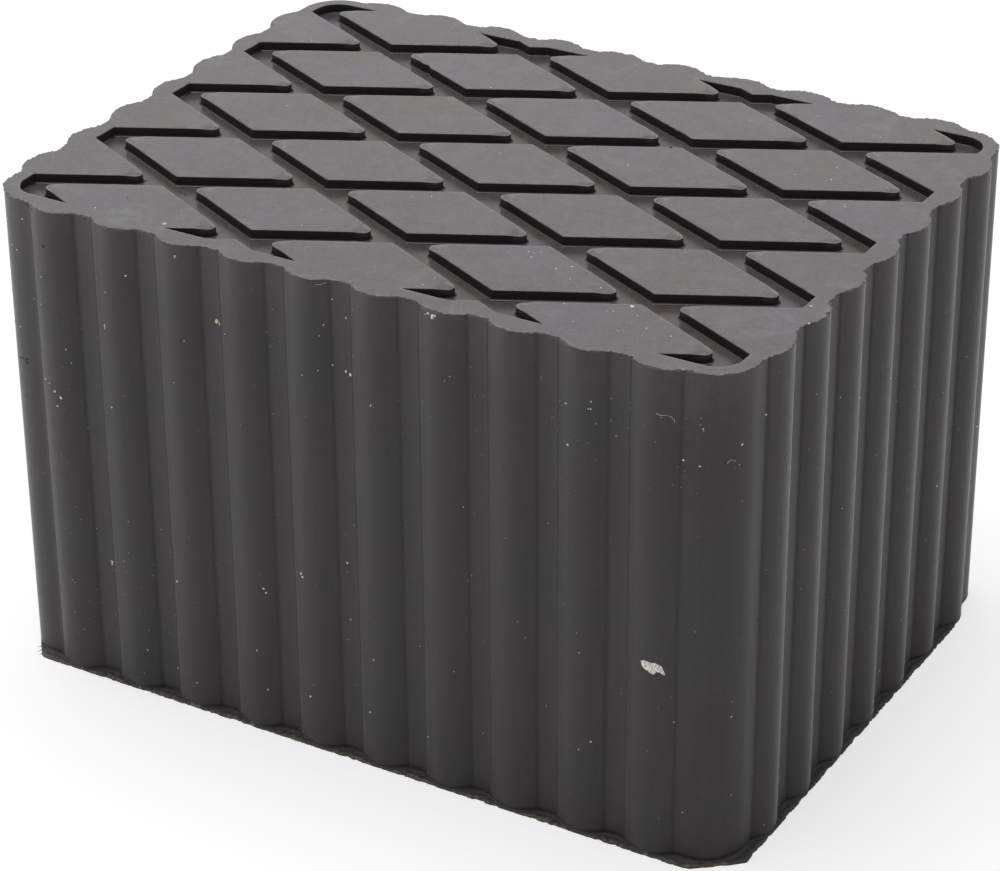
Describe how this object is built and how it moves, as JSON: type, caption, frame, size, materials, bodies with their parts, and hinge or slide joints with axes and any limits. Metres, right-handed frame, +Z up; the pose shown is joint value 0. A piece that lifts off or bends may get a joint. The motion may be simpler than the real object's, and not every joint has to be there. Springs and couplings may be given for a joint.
{
  "type": "lift arm rubber pad",
  "caption": "Solid moulded rubber block with round ribs down its four sides and a diamond tread on top, used between a lift arm and what it raises.",
  "frame": {"origin": "middle of the underside", "axes": "+X along the long side, +Y along the short side, +Z up through the tread"},
  "size_m": [0.1608, 0.1208, 0.099],
  "materials": {
    "rubber": "matt moulded rubber, dusty on the tread"
  },
  "bodies": {
    "root": {"rubber_pad": "rubber"}
  },
  "joints": []
}
